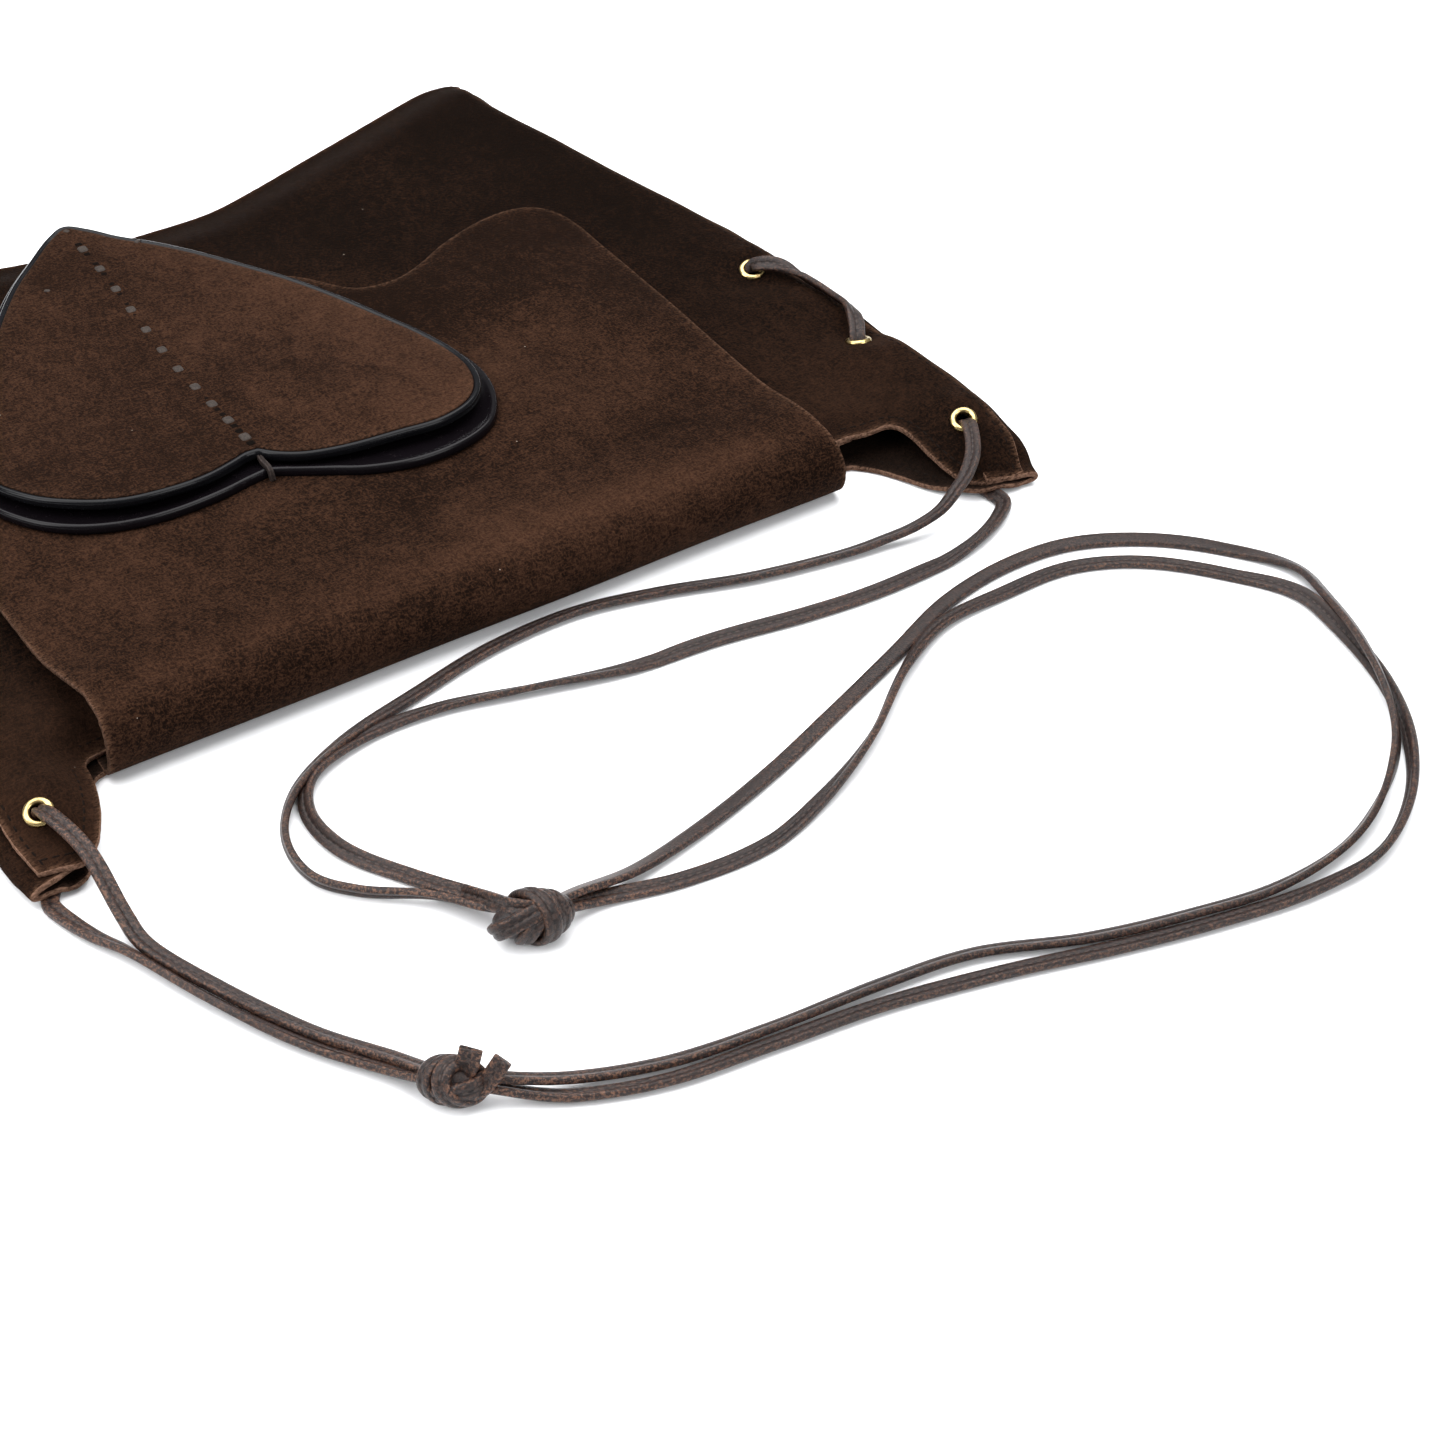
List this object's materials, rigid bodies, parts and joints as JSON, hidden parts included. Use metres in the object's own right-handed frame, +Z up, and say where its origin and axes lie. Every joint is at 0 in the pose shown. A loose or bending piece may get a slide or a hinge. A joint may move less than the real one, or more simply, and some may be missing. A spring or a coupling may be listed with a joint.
{
  "type": "drawstring shoulder bag",
  "caption": "Flat suede drawstring shoulder bag with a fold-over flap, a laced heart medallion, brass eyelets and a long knotted leather lace.",
  "frame": {"origin": "centre of the bag's footprint on the table, without the free strap", "axes": "+X along the mouth towards the bag's right side fold, +Y from the mouth towards the bottom seam, +Z up from the table through the front panel and flap"},
  "size_m": [0.424, 0.574, 0.0283],
  "materials": {
    "suede": "matte napped suede, dark brown",
    "facing_suede": "matte flesh side of the suede",
    "heart_suede": "matte napped suede, a little lighter",
    "gloss_leather": "glossy moulded leather, near black",
    "painted_edge": "gloss painted edge, black",
    "lacing_thong": "worn smooth leather thong",
    "lace_leather": "satin stitched leather lace with worn edges",
    "brass": "polished, slightly tarnished"
  },
  "bodies": {
    "root": {"back_panel": "suede", "mouth_facing_back": "facing_suede", "flap_neck": "suede", "eyelets_back_right": "brass", "eyelets_back_left": "brass", "washers_back_right": "brass", "washers_back_left": "brass", "lace_cross_right": "lace_leather", "lace_cross_left": "lace_leather", "lace_under_right": "lace_leather", "lace_under_left": "lace_leather", "lace_back_inside_right": "lace_leather", "lace_back_inside_left": "lace_leather", "lace_back_end_right": "lace_leather", "lace_back_end_left": "lace_leather", "strap_lace_front": "lace_leather", "strap_lace_back": "lace_leather", "knot_right": "lace_leather", "knot_left": "lace_leather", "lace_tails": "lace_leather"},
    "front": {"front_panel": "suede", "side_wrap_right": "suede", "side_wrap_left": "suede", "mouth_facing_front": "facing_suede", "eyelets_front_right": "brass", "eyelets_front_left": "brass", "washers_front_right": "brass", "washers_front_left": "brass", "lace_outside_right": "lace_leather", "lace_outside_left": "lace_leather", "lace_inside_right": "lace_leather", "lace_inside_left": "lace_leather", "lace_end_right": "lace_leather", "lace_end_left": "lace_leather"},
    "flap_body": {"flap": "suede", "heart_base": "gloss_leather", "heart_backing": "painted_edge", "heart_facing": "heart_suede", "heart_lacing": "lacing_thong", "cleft_tie": "gloss_leather", "tip_stitches": "lacing_thong"}
  },
  "joints": [
    {"name": "flap_lift", "type": "hinge", "parent": "root", "child": "flap_body", "pos_m": [0, -0.1525, 0.0101], "axis": [1, 0, 0], "range_deg": [0, 135]},
    {"name": "mouth_gape", "type": "hinge", "parent": "root", "child": "front", "pos_m": [0, 0.186, 0.01], "axis": [-1, 0, 0], "range_deg": [0, 5]}
  ],
  "couplings": [
    {"joint": "mouth_gape", "follows": "flap_lift", "ratio": 0.037037}
  ]
}
